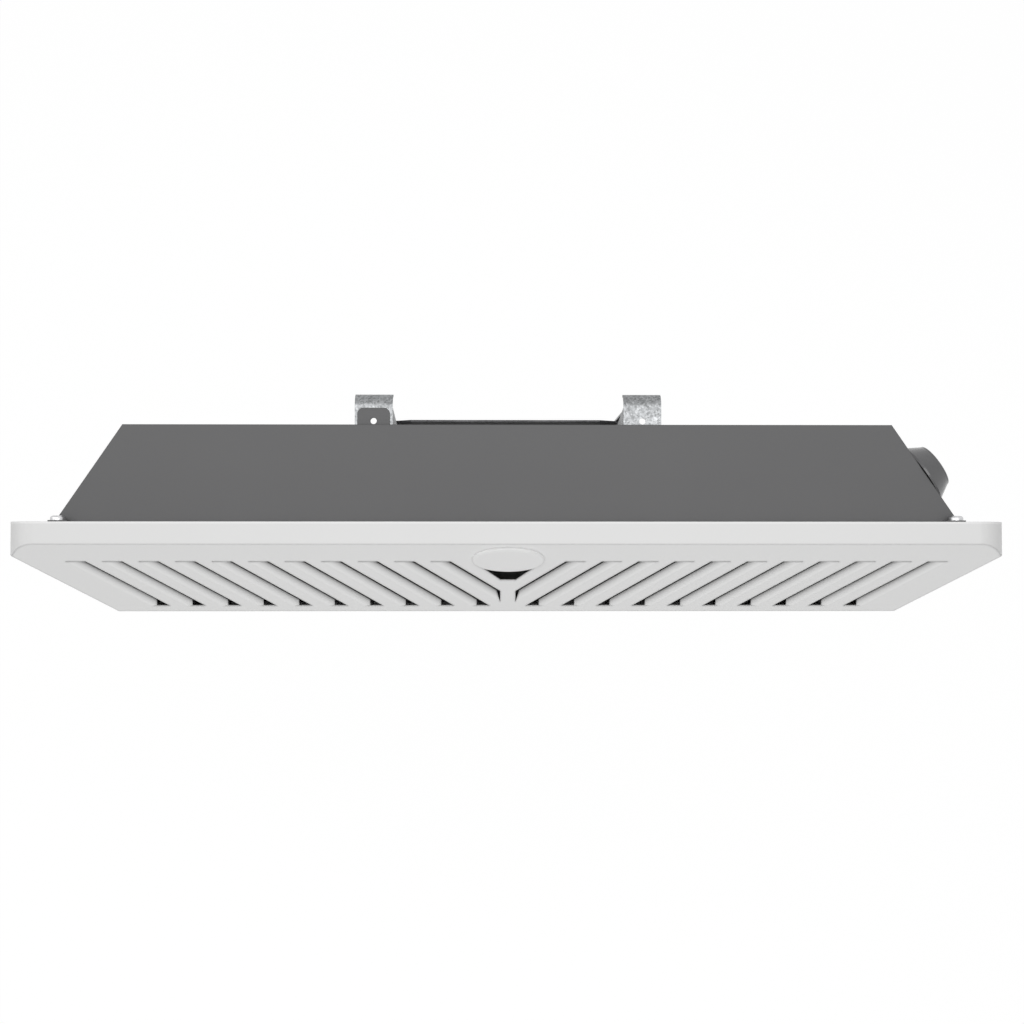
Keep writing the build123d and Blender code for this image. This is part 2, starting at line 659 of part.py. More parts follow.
# Heating element: steel core in a finned aluminium body, lying along X
element_axis = Plane(origin=(ELEMENT_LEFT, ELEMENT_Y, ELEMENT_Z), x_dir=(0, 1, 0), z_dir=(1, 0, 0))
with BuildPart() as element_fins:
    with BuildSketch(element_axis):
        Circle(BODY_D / 2)
        Rectangle(WING_T, BODY_D + 2 * WING_H)
        Circle(CORE_D / 2, mode=Mode.SUBTRACT)
    extrude(amount=ELEMENT_L)
    fin_count = int(ELEMENT_L / FIN_PITCH) - 1
    for number in range(fin_count):
        with BuildSketch(element_axis.offset((number + 1) * FIN_PITCH - FIN_T / 2)):
            Rectangle(2 * FIN_REACH, BODY_D + WING_H)
            Circle(BODY_D / 2 - 1, mode=Mode.SUBTRACT)
        extrude(amount=FIN_T)
element_fins.part.label = "element_fins"
export_step(element_fins.part, "parts/element_fins.step")

with BuildPart() as element_core:
    with BuildSketch(element_axis.offset(-CORE_OUT)):
        Circle(CORE_D / 2)
    extrude(amount=ELEMENT_L + 2 * CORE_OUT)
element_core.part.label = "element_core"
export_step(element_core.part, "parts/element_core.step")

with BuildPart() as element_pins:
    for start in (-CORE_OUT - PIN_OUT, ELEMENT_L + CORE_OUT):
        with BuildSketch(element_axis.offset(start)):
            Circle(PIN_D / 2)
        extrude(amount=PIN_OUT)
element_pins.part.label = "element_pins"
export_step(element_pins.part, "parts/element_pins.step")

bush_starts = (-BUSH_L - 3, ELEMENT_L + 3)
with BuildPart() as element_bushes:
    for start in bush_starts:
        with BuildSketch(element_axis.offset(start)):
            Circle(BUSH_D / 2)
            Circle(CORE_D / 2, mode=Mode.SUBTRACT)
        extrude(amount=BUSH_L)
        with BuildSketch(element_axis.offset(start + BUSH_L / 2 - CARRIER_T / 2 - 3)):
            Circle(BUSH_D / 2 + 2.5)
            Circle(CORE_D / 2, mode=Mode.SUBTRACT)
        extrude(amount=3)
element_bushes.part.label = "element_bushes"
export_step(element_bushes.part, "parts/element_bushes.step")


def carrier(start):
    """Folded bracket that holds one element bush to the housing's back wall."""
    face = element_axis.offset(start + BUSH_L / 2 - CARRIER_T / 2)
    wall = HOUSING_BACK - HOUSING_T
    reach = wall - ELEMENT_Y
    with BuildPart() as bracket:
        with BuildSketch(face):
            Circle(CARRIER_W / 2)
            with Locations((reach / 2, 0)):
                Rectangle(reach, CARRIER_W)
            Circle(BUSH_D / 2, mode=Mode.SUBTRACT)
        extrude(amount=CARRIER_T)
        with Locations((face.origin.X + CARRIER_FOOT / 2, wall - CARRIER_T / 2, ELEMENT_Z)):
            Box(CARRIER_FOOT, CARRIER_T, CARRIER_W)
        with BuildSketch(facing_back(wall + 1)):
            with Locations((face.origin.X + CARRIER_FOOT * 0.6, ELEMENT_Z)):
                Circle(RIVET_D / 2)
        extrude(amount=CARRIER_T + 2, mode=Mode.SUBTRACT)
    return bracket


carrier_left = carrier(bush_starts[0])
carrier_left.part.label = "carrier_left"
export_step(carrier_left.part, "parts/carrier_left.step")
carrier_right = carrier(bush_starts[1])
carrier_right.part.label = "carrier_right"
export_step(carrier_right.part, "parts/carrier_right.step")

# Partition that closes off the control compartment
back_inner = HOUSING_BACK - HOUSING_T
floor_top = HOUSING_BOTTOM + HOUSING_T
partition_low = floor_top + 6 * GUARD_WIRE
with BuildPart() as partition:
    with Locations((PARTITION_X, (back_inner + PANEL_BACK) / 2, (roof_under + partition_low) / 2)):
        Box(PARTITION_T, back_inner - PANEL_BACK, roof_under - partition_low)
    foot_mid = (roof_under + partition_low) / 2
    with Locations((PARTITION_X + PARTITION_FOOT / 2, back_inner - PARTITION_T / 2, foot_mid)):
        Box(PARTITION_FOOT, PARTITION_T, roof_under - partition_low)
    with BuildSketch(Plane(origin=(PARTITION_X - 2, 0, 0), x_dir=(0, 1, 0), z_dir=(1, 0, 0))):
        with Locations((ELEMENT_Y, ELEMENT_Z)):
            Circle(BUSH_D / 2 + 2)
        with Locations((WIRE_HOLE_Y, WIRE_HOLE_Z)):
            Circle(WIRE_HOLE_D / 2)
    extrude(amount=4, mode=Mode.SUBTRACT)
partition.part.label = "partition"
export_step(partition.part, "parts/partition.step")

# Sloping sheet that turns the warm air forward to the louvres
deflector_right = PARTITION_X - PARTITION_T
deflector_left = -HOUSING_BACK_HALF + 2
with BuildPart() as air_deflector:
    with BuildSketch(Plane(origin=(deflector_left, 0, 0), x_dir=(0, 1, 0), z_dir=(1, 0, 0))):
        with BuildLine():
            low = roof_under - DEFLECTOR_DROP
            Polyline(
                (back_inner, low - DEFLECTOR_FOOT), (back_inner, low),
                (PANEL_BACK + DEFLECTOR_FOOT, roof_under - DEFLECTOR_T),
                (PANEL_BACK, roof_under - DEFLECTOR_T),
                (PANEL_BACK, roof_under - 2 * DEFLECTOR_T),
                (PANEL_BACK + DEFLECTOR_FOOT, roof_under - 2 * DEFLECTOR_T),
                (back_inner - DEFLECTOR_T, low - DEFLECTOR_T),
                (back_inner - DEFLECTOR_T, low - DEFLECTOR_FOOT),
                close=True,
            )
        make_face()
    extrude(amount=deflector_right - deflector_left)
air_deflector.part.label = "air_deflector"
export_step(air_deflector.part, "parts/air_deflector.step")

# Thermostat: body inside the slanted wall, threaded stem through it, nut outside
inner_seat = knob_seat.offset(-HOUSING_T)
with BuildPart() as thermostat_body:
    with BuildSketch(inner_seat):
        RectangleRounded(STAT_W, STAT_H, STAT_R)
    extrude(amount=-STAT_D)
    with BuildSketch(inner_seat):
        Circle(STEM_D / 2)
    extrude(amount=HOUSING_T + STEM_OUT)
    with BuildSketch(inner_seat.offset(HOUSING_T + STEM_OUT)):
        Circle(SHAFT_D / 2 + SHAFT_FIT)
    extrude(amount=-HOUSING_T - STEM_OUT - 6, mode=Mode.SUBTRACT)
thermostat_body.part.label = "thermostat_body"
export_step(thermostat_body.part, "parts/thermostat_body.step")

with BuildPart() as thermostat_nut:
    with BuildSketch(knob_seat):
        RegularPolygon(NUT_D / 2, 6)
        Circle(STEM_D / 2, mode=Mode.SUBTRACT)
    extrude(amount=NUT_H)
thermostat_nut.part.label = "thermostat_nut"
export_step(thermostat_nut.part, "parts/thermostat_nut.step")

hub_floor = STEM_OUT + HUB_LIFT
shaft_end = KNOB_H - SHAFT_COVER
with BuildPart() as thermostat_shaft:
    with BuildSketch(inner_seat.offset(-5)):
        Circle(SHAFT_D / 2)
    extrude(amount=5 + HOUSING_T + shaft_end)
    with BuildSketch(knob_seat.offset(hub_floor)):
        with Locations((0, SHAFT_D / 2)):
            Rectangle(SHAFT_D, SHAFT_D / 2)
    extrude(amount=KNOB_H, mode=Mode.SUBTRACT)
thermostat_shaft.part.label = "thermostat_shaft"
export_step(thermostat_shaft.part, "parts/thermostat_shaft.step")

knob_profile = Plane(origin=knob_seat.origin, x_dir=knob_seat.x_dir, z_dir=-knob_seat.y_dir)
with BuildPart() as control_knob:
    with BuildSketch(knob_profile):
        with BuildLine():
            top_r = KNOB_TIP_D / 2
            base_r = KNOB_D / 2
            under = KNOB_H - KNOB_CROWN_T
            Line((0, KNOB_H), (top_r - KNOB_EDGE, KNOB_H))
            RadiusArc((top_r - KNOB_EDGE, KNOB_H), (top_r, KNOB_H - KNOB_EDGE), KNOB_EDGE)
            Line((top_r, KNOB_H - KNOB_EDGE), (base_r, KNOB_LIFT + KNOB_EDGE))
            Line((base_r, KNOB_LIFT + KNOB_EDGE), (base_r, KNOB_LIFT))
            Line((base_r, KNOB_LIFT), (base_r - KNOB_WALL, KNOB_LIFT))
            Line((base_r - KNOB_WALL, KNOB_LIFT), (top_r - KNOB_WALL, under))
            Line((top_r - KNOB_WALL, under), (HUB_D / 2, under))
            Line((HUB_D / 2, under), (HUB_D / 2, hub_floor))
            Line((HUB_D / 2, hub_floor), (0, hub_floor))
            Line((0, hub_floor), (0, KNOB_H))
        make_face()
    revolve(axis=Axis(knob_seat.origin, knob_seat.z_dir))
    # Pointer groove on the crown
    with BuildSketch(knob_seat.offset(KNOB_H - POINTER_DEEP)):
        with Locations((0, KNOB_TIP_D / 4)):
            Rectangle(POINTER_W, KNOB_TIP_D / 2 - 3)
    extrude(amount=2, mode=Mode.SUBTRACT)
    with BuildSketch(knob_seat.offset(hub_floor)):
        Circle(SHAFT_D / 2)
        with Locations((0, SHAFT_D / 2)):
            Rectangle(SHAFT_D, SHAFT_D / 2, mode=Mode.SUBTRACT)
    extrude(amount=shaft_end - hub_floor, mode=Mode.SUBTRACT)
control_knob.part.label = "control_knob"
export_step(control_knob.part, "parts/control_knob.step")

# Rocker switch under the knob: body and bezel in one, rocker on two side pins
pivot_plane = Plane(
    origin=switch_seat.origin + switch_seat.z_dir * ROCKER_PIVOT,
    x_dir=switch_seat.y_dir,
    z_dir=switch_seat.x_dir,
)
rocker_room = ROCKER_H / 2 + ROCKER_GAP
pin_reach = ROCKER_W / 2 + ROCKER_GAP + ROCKER_PIN_IN
with BuildPart() as switch_body:
    with BuildSketch(switch_seat):
        RectangleRounded(BEZEL_W, BEZEL_H, BEZEL_R)
    extrude(amount=BEZEL_T)
    with BuildSketch(switch_seat):
        Rectangle(SWITCH_W, SWITCH_H)
    extrude(amount=-SWITCH_DEEP)
    with BuildSketch(pivot_plane.offset(-ROCKER_W / 2 - ROCKER_GAP)):
        Circle(rocker_room)
        with Locations((0, -rocker_room)):
            Rectangle(2 * rocker_room, 2 * rocker_room)
    extrude(amount=ROCKER_W + 2 * ROCKER_GAP, mode=Mode.SUBTRACT)
    with BuildSketch(pivot_plane.offset(-pin_reach - 0.1)):
        Circle(ROCKER_PIN / 2 + ROCKER_PIN_FIT)
    extrude(amount=2 * pin_reach + 0.2, mode=Mode.SUBTRACT)
switch_body.part.label = "switch_body"
export_step(switch_body.part, "parts/switch_body.step")

with BuildPart() as rocker:
    with BuildSketch(pivot_plane.offset(-ROCKER_W / 2)):
        with Locations(Location((0, 0), -ROCKER_TILT)):
            Circle(ROCKER_H / 2)
            with BuildLine():
                Polyline(
                    (-ROCKER_H, ROCKER_UP), (0, ROCKER_UP - 1.2), (ROCKER_H, ROCKER_UP),
                    (ROCKER_H, -ROCKER_DOWN), (-ROCKER_H, -ROCKER_DOWN), close=True,
                )
            make_face(mode=Mode.INTERSECT)
    extrude(amount=ROCKER_W)
    with BuildSketch(pivot_plane.offset(-pin_reach)):
        Circle(ROCKER_PIN / 2)
    extrude(amount=2 * pin_reach)
rocker.part.label = "rocker"
export_step(rocker.part, "parts/rocker.step")

# Overheat cut-out: button thermostat clipped to the back wall above the element
cutout_face = facing_back(back_inner)
with BuildPart() as cutout:
    with BuildSketch(cutout_face):
        with Locations((CUTOUT_X, CUTOUT_Z)):
            Circle(CUTOUT_D / 2)
    extrude(amount=CUTOUT_H)
    for side in (-1, 1):
        with Locations((CUTOUT_X + side * CUTOUT_D * 0.28, back_inner - CUTOUT_H - BLADE_L / 2, CUTOUT_Z)):
            Box(BLADE_T, BLADE_L, BLADE_W)
cutout.part.label = "cutout"
export_step(cutout.part, "parts/cutout.step")

with BuildPart() as cutout_clip:
    with BuildSketch(cutout_face):
        with Locations((CUTOUT_X, CUTOUT_Z)):
            RectangleRounded(2.4 * CUTOUT_D, CUTOUT_D + 5, 3)
            Circle(CUTOUT_D / 2, mode=Mode.SUBTRACT)
            with GridLocations(1.85 * CUTOUT_D, 0, 2, 1):
                Circle(RIVET_D / 2, mode=Mode.SUBTRACT)
    extrude(amount=CARRIER_T)
cutout_clip.part.label = "cutout_clip"
export_step(cutout_clip.part, "parts/cutout_clip.step")

# Rivets on the inside of the back wall
foot_shift = BUSH_L / 2 - CARRIER_T / 2 + CARRIER_FOOT * 0.6
foot_x = [ELEMENT_LEFT + start + foot_shift for start in bush_starts]
inner_rivet_spots = [(x, ELEMENT_Z) for x in foot_x] + [
    (CUTOUT_X + side * 1.85 * CUTOUT_D / 2, CUTOUT_Z) for side in (-1, 1)
]
with BuildPart() as inner_rivets:
    with BuildSketch(facing_back(back_inner - CARRIER_T)):
        with Locations(*inner_rivet_spots):
            Circle(RIVET_HEAD_D / 2)
    extrude(amount=RIVET_HEAD_H)
    with BuildSketch(facing_back(back_inner)):
        with Locations(*inner_rivet_spots):
            Circle(RIVET_D / 2)
    extrude(amount=CARRIER_T)
inner_rivets.part.label = "inner_rivets"
export_step(inner_rivets.part, "parts/inner_rivets.step")

# Terminal block and earth stud on the back wall of the control compartment
with BuildPart() as terminal_block:
    with Locations((BLOCK_X, back_inner - BLOCK_D / 2, BLOCK_Z)):
        Box(BLOCK_W, BLOCK_D, BLOCK_H)
    with BuildSketch(facing_back(back_inner - BLOCK_D)):
        with Locations((BLOCK_X, BLOCK_Z)):
            with GridLocations(BLOCK_W / 3, BLOCK_H * 0.5, 3, 2):
                Circle(TERMINAL_D / 2)
    extrude(amount=-TERMINAL_DEEP, mode=Mode.SUBTRACT)
terminal_block.part.label = "terminal_block"
export_step(terminal_block.part, "parts/terminal_block.step")

with BuildPart() as earth_stud:
    with BuildSketch(cutout_face):
        with Locations((EARTH_X, EARTH_Z)):
            RegularPolygon(EARTH_NUT_R, 6)
    extrude(amount=EARTH_NUT_H)
    with BuildSketch(cutout_face):
        with Locations((EARTH_X, EARTH_Z)):
            Circle(EARTH_STUD_D / 2)
    extrude(amount=EARTH_STUD_L)
earth_stud.part.label = "earth_stud"
export_step(earth_stud.part, "parts/earth_stud.step")

# Cable gland in the floor, with its nut inside
with BuildPart() as cable_gland:
    with BuildSketch(Plane.XY.offset(HOUSING_BOTTOM)):
        with Locations((GLAND_X, GLAND_Y)):
            Circle(GLAND_D / 2 + GLAND_RIM)
    extrude(amount=-GLAND_RIM_T)
    fillet(cable_gland.faces().sort_by(Axis.Z)[0].edges(), 1.5)
    with BuildSketch(Plane.XY.offset(HOUSING_BOTTOM)):
        with Locations((GLAND_X, GLAND_Y)):
            Circle(GLAND_D / 2)
    extrude(amount=HOUSING_T + GLAND_THREAD)
    with BuildSketch(Plane.XY.offset(HOUSING_BOTTOM - 5)):
        with Locations((GLAND_X, GLAND_Y)):
            Circle(GLAND_BORE / 2)
    extrude(amount=HOUSING_T + 14, mode=Mode.SUBTRACT)
cable_gland.part.label = "cable_gland"
export_step(cable_gland.part, "parts/cable_gland.step")

with BuildPart() as gland_nut:
    with BuildSketch(Plane.XY.offset(HOUSING_BOTTOM + HOUSING_T)):
        with Locations((GLAND_X, GLAND_Y)):
            RegularPolygon(GLAND_D / 2 + GLAND_NUT_RIM, 6)
            Circle(GLAND_D / 2, mode=Mode.SUBTRACT)
    extrude(amount=GLAND_NUT_T)
gland_nut.part.label = "gland_nut"
export_step(gland_nut.part, "parts/gland_nut.step")

# Wires, each from one terminal to the next, leaving and arriving straight
stat_rear = inner_seat.offset(-STAT_D - WIRE_GAP)
switch_rear = switch_seat.offset(-SWITCH_DEEP - WIRE_GAP)
block_top = BLOCK_Z + BLOCK_H / 2 + WIRE_GAP
block_under = BLOCK_Z - BLOCK_H / 2 - WIRE_GAP
block_mid_y = back_inner - BLOCK_D / 2
pin_left = element_axis.origin.X - CORE_OUT - PIN_OUT - WIRE_GAP
pin_right = element_axis.origin.X + ELEMENT_L + CORE_OUT + PIN_OUT + WIRE_GAP
blade_y = back_inner - CUTOUT_H - BLADE_L - WIRE_GAP
blade_dx = CUTOUT_D * 0.28
into_wall = tuple(knob_seat.z_dir)
from_wall = tuple(-knob_seat.z_dir)
wire_routes = {
    "wire_supply": ((0, 0, 1), into_wall, [
        (BLOCK_X - 6, block_mid_y, block_top), (BLOCK_X - 2, block_mid_y - 6, block_top + 60),
        (BLOCK_X + 4, block_mid_y - 22, PANEL_TOP - 160), tuple(switch_rear.from_local_coords((0, -7, -12))),
        tuple(switch_rear.from_local_coords((0, -7, 0))),
    ]),
    "wire_switched": (from_wall, into_wall, [
        tuple(switch_rear.from_local_coords((0, 7, 0))), tuple(switch_rear.from_local_coords((2, 22, -9))),
        tuple(stat_rear.from_local_coords((2, -12, 0))),
    ]),
    "wire_heat": (from_wall, (0, 1, 0), [
        tuple(stat_rear.from_local_coords((2, 8, 0))), (PARTITION_X + 20, -64, PANEL_TOP - 60),
        (PARTITION_X + 8, -50, WIRE_HOLE_Z + 30), (PARTITION_X, WIRE_HOLE_Y, WIRE_HOLE_Z),
        (CUTOUT_X + 30, blade_y - 8, CUTOUT_Z + 14), (CUTOUT_X + blade_dx, blade_y, CUTOUT_Z),
    ]),
    "wire_cutout": ((0, -1, 0), (1, 0, 0), [
        (CUTOUT_X - blade_dx, blade_y, CUTOUT_Z), (CUTOUT_X - 40, blade_y - 6, CUTOUT_Z + 8),
        (0, blade_y, CUTOUT_Z), (pin_left + 36, blade_y, CUTOUT_Z - 10),
        (pin_left - 9, ELEMENT_Y + 8, ELEMENT_Z + 22), (pin_left, ELEMENT_Y, ELEMENT_Z),
    ]),
    "wire_neutral": ((0, 0, -1), (-1, 0, 0), [
        (BLOCK_X - 6, block_mid_y, block_under), (BLOCK_X - 6, block_mid_y - 14, block_under - 16),
        (PARTITION_X + 12, ELEMENT_Y, ELEMENT_Z - 12), (pin_right, ELEMENT_Y, ELEMENT_Z),
    ]),
    "wire_earth": ((0, 0, -1), (0, 1, 0), [
        (BLOCK_X + 6, block_mid_y, block_under), (BLOCK_X + 5, block_mid_y - 6, block_under - 12),
        (EARTH_X, back_inner - EARTH_STUD_L - WIRE_GAP, EARTH_Z),
    ]),
}


def wire(leave, arrive, route):
    """Round wire along a smooth curve through the points of its route."""
    with BuildPart() as strand:
        with BuildLine() as run:
            Spline(*route, tangents=(leave, arrive))
        with BuildSketch(Plane(origin=run.line @ 0, z_dir=run.line % 0)):
            Circle(WIRE_D / 2)
        sweep()
    return strand


for wire_name, (leave, arrive, route) in wire_routes.items():
    strand = wire(leave, arrive, route)
    strand.part.label = wire_name
    export_step(strand.part, f"parts/{wire_name}.step")
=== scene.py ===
"""Looks of the wall-hung convector heater: materials, studio and camera.

Metres, in the frame of the CAD model: +X right seen from the front, -Y out of the wall, +Z up.
"""
import math

import bpy
from mathutils import Matrix, Vector


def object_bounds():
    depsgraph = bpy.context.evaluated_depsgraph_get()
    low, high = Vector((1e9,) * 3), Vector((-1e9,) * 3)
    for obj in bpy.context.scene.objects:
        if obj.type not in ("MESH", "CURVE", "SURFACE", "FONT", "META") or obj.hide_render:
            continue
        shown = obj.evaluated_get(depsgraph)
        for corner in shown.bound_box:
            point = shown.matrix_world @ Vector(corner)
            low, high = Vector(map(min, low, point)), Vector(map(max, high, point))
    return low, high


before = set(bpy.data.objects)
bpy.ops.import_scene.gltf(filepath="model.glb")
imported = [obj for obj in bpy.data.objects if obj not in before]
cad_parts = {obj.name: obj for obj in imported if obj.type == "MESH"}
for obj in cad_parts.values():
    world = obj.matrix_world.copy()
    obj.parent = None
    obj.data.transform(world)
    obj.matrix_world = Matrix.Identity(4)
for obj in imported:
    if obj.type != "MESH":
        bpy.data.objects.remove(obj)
cad_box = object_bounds()
bpy.ops.object.select_all(action="DESELECT")

# Powder coat: slow drift of tone, softened edges and clear top layer
DRIFT_SCALE = 9.0
SOFT_EDGE_R = 0.0009
TOP_LAYER_ROUGHNESS = 0.2

# Bare metal: rolling lines
LINE_SCALE = 260.0
LINE_DEPTH = 0.00004

# Moulded plastic: uneven tone
TONE_SCALE = 60.0
TONE_DARK = 0.88
TONE_LIGHT = 1.12


# Node helpers


def new_material(name):
    """Empty node material with its Principled shader, node tree and output linked."""
    material = bpy.data.materials.new(name)
    material.use_nodes = True
    tree = material.node_tree
    shader = tree.nodes["Principled BSDF"]
    return material, tree, shader


def coordinates(tree, scale=(1, 1, 1)):
    """Object coordinates in metres, stretched."""
    source = tree.nodes.new("ShaderNodeTexCoord")
    mapping = tree.nodes.new("ShaderNodeMapping")
    mapping.inputs["Scale"].default_value = scale
    tree.links.new(source.outputs["Object"], mapping.inputs["Vector"])
    return mapping.outputs["Vector"]


def noise(tree, vector, scale, detail=3.0, roughness=0.5):
    """Grey noise of about 0.5, finer with a larger scale."""
    node = tree.nodes.new("ShaderNodeTexNoise")
    node.inputs["Scale"].default_value = scale
    node.inputs["Detail"].default_value = detail
    node.inputs["Roughness"].default_value = roughness
    tree.links.new(vector, node.inputs["Vector"])
    return node.outputs["Fac"]


def ramp(tree, value, stops):
    """Colour ramp from (place, grey or colour) stops."""
    node = tree.nodes.new("ShaderNodeValToRGB")
    elements = node.color_ramp.elements
    while len(elements) < len(stops):
        elements.new(0.5)
    for element, (place, colour) in zip(elements, stops):
        element.position = place
        element.color = (*colour, 1) if isinstance(colour, tuple) else (colour, colour, colour, 1)
    tree.links.new(value, node.inputs["Fac"])
    return node.outputs["Color"]


def bump(tree, shader, height, distance, strength, normal=None):
    """Bump of a given depth in metres, over a softened normal where one is given."""
    node = tree.nodes.new("ShaderNodeBump")
    if normal:
        tree.links.new(normal, node.inputs["Normal"])
    node.inputs["Distance"].default_value = distance
    node.inputs["Strength"].default_value = strength
    tree.links.new(height, node.inputs["Height"])
    tree.links.new(node.outputs["Normal"], shader.inputs["Normal"])


def edge_mask(tree, radius, low, high):
    """Value that rises near edges, from the turn between bevelled and plain normals."""
    bevel = tree.nodes.new("ShaderNodeBevel")
    bevel.inputs["Radius"].default_value = radius
    bevel.samples = 4
    geometry = tree.nodes.new("ShaderNodeNewGeometry")
    gap = tree.nodes.new("ShaderNodeVectorMath")
    gap.operation = "DISTANCE"
    tree.links.new(bevel.outputs["Normal"], gap.inputs[0])
    tree.links.new(geometry.outputs["Normal"], gap.inputs[1])
    return spread(tree, gap.outputs["Value"], low, high)


def spread(tree, value, low, high):
    """Clamped 0 to 1 ramp of a value between low and high."""
    node = tree.nodes.new("ShaderNodeMapRange")
    node.inputs["From Min"].default_value = low
    node.inputs["From Max"].default_value = high
    tree.links.new(value, node.inputs["Value"])
    return node.outputs["Result"]


def product(tree, *values):
    """Product of several mask values."""
    result = values[0]
    for value in values[1:]:
        node = tree.nodes.new("ShaderNodeMath")
        node.operation = "MULTIPLY"
        tree.links.new(result, node.inputs[0])
        tree.links.new(value, node.inputs[1])
        result = node.outputs["Value"]
    return result


def tint(tree, colour, mask, shade):
    """Multiplies a colour by a shade where the mask is high."""
    node = tree.nodes.new("ShaderNodeMix")
    node.data_type = "RGBA"
    node.blend_type = "MULTIPLY"
    tree.links.new(mask, node.inputs["Factor"])
    tree.links.new(colour, node.inputs["A"])
    node.inputs["B"].default_value = (shade, shade, shade, 1)
    return node.outputs["Result"]


def powder_coat(name, base, drift_range, grain, depth, rough, coat=0.0, painted_light=None):
    """Powder coat: fine orange-peel grain with a slow drift of tone and softened edges."""
    material, tree, shader = new_material(name)
    vector = coordinates(tree)
    drift = noise(tree, vector, DRIFT_SCALE, detail=2.0)
    dark = tuple(c - drift_range for c in base)
    light = tuple(c + drift_range for c in base)
    tone = ramp(tree, drift, [(0.3, dark), (0.7, light)])
    # Optional painted light and shade laid over the tone
    if painted_light:
        tone = painted_light(tree, vector, tone)
    tree.links.new(tone, shader.inputs["Base Color"])
    fine = noise(tree, vector, grain, detail=4.0, roughness=0.6)
    gloss = ramp(tree, fine, [(0.25, rough - 0.05), (0.75, rough + 0.06)])
    tree.links.new(gloss, shader.inputs["Roughness"])
    soft = tree.nodes.new("ShaderNodeBevel")
    soft.inputs["Radius"].default_value = SOFT_EDGE_R
    soft.samples = 6
    bump(tree, shader, fine, depth, strength=0.6, normal=soft.outputs["Normal"])
    shader.inputs["Coat Weight"].default_value = coat
    shader.inputs["Coat Roughness"].default_value = TOP_LAYER_ROUGHNESS
    return material


def bare_metal(name, base, spangle, rough, direction=(1, 1, 1), low=0.86, high=1.1):
    """Galvanised, rolled or turned metal: small patches of tone and fine rolling lines."""
    material, tree, shader = new_material(name)
    vector = coordinates(tree)
    cells = tree.nodes.new("ShaderNodeTexVoronoi")
    cells.inputs["Scale"].default_value = spangle
    tree.links.new(vector, cells.inputs["Vector"])
    grey = tree.nodes.new("ShaderNodeRGBToBW")
    tree.links.new(cells.outputs["Color"], grey.inputs["Color"])
    dull = tuple(c * low for c in base)
    bright = tuple(min(1, c * high) for c in base)
    tone = ramp(tree, grey.outputs["Val"], [(0.1, dull), (0.9, bright)])
    tree.links.new(tone, shader.inputs["Base Color"])
    lines = noise(tree, coordinates(tree, direction), LINE_SCALE, detail=4.0, roughness=0.7)
    gloss = ramp(tree, lines, [(0.3, rough - 0.08), (0.7, rough + 0.12)])
    tree.links.new(gloss, shader.inputs["Roughness"])
    bump(tree, shader, lines, LINE_DEPTH, strength=0.5)
    shader.inputs["Metallic"].default_value = 1.0
    return material


def plastic(name, base, rough, grain=2600.0, depth=0.00003, coat=0.0):
    """Moulded plastic: fine spark-eroded texture with a slightly uneven tone and gloss."""
    material, tree, shader = new_material(name)
    vector = coordinates(tree)
    fine = noise(tree, vector, grain, roughness=0.6)
    slow = noise(tree, vector, TONE_SCALE, detail=2.0)
    dark = tuple(c * TONE_DARK for c in base)
    light = tuple(min(1, c * TONE_LIGHT) for c in base)
    tone = ramp(tree, slow, [(0.3, dark), (0.7, light)])
    tree.links.new(tone, shader.inputs["Base Color"])
    gloss = ramp(tree, fine, [(0.3, rough - 0.06), (0.7, rough + 0.08)])
    tree.links.new(gloss, shader.inputs["Roughness"])
    bump(tree, shader, fine, depth, strength=0.7)
    shader.inputs["Coat Weight"].default_value = coat
    return material


def dress(material, *names):
    """Gives each named CAD node one material on all its faces."""
    for name in names:
        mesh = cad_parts[name].data
        mesh.materials.clear()
        mesh.materials.append(material)


# Louvred facet: it starts in front of the top flange and drops towards the panel's front
FLANGE_TOP = 0.0145
FACET_DROP = 0.048
panel_corners = [Vector(corner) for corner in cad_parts["front_panel"].bound_box]
PANEL_TOP = max(corner.z for corner in panel_corners)
PANEL_BACK = max(corner.y for corner in panel_corners)
PANEL_FRONT = min(corner.y for corner in panel_corners)
FACET_START = PANEL_BACK - FLANGE_TOP
FACET_NORMAL = Vector((0, -FACET_DROP, FACET_START - PANEL_FRONT)).normalized()
FACET_LEVEL = FACET_NORMAL.dot(Vector((0, FACET_START, PANEL_TOP)))

# Painted light and shade on the panel: each is absent at its first value and full at its second
BACK_EDGE = (PANEL_BACK - 0.0017, PANEL_BACK - 0.0007)
CREASES = (FACET_START + 0.0025, FACET_START + 0.0015)
CREASE_TURN = (0.03, 0.2)
LOUVRE_FIELD = (FACET_START - 0.006, FACET_START - 0.008)
HOLLOWS = (FACET_LEVEL - 0.0001, FACET_LEVEL - 0.0021)
FACING_UP = (0.3, 0.5)

# Reach of the painted crease shade; what the painted shade and highlight multiply the white by
CREASE_R = 0.0018
BACK_EDGE_HIGHLIGHT = 1.16
HOLLOW_SHADE = 0.52
CREASE_SHADE = 0.74


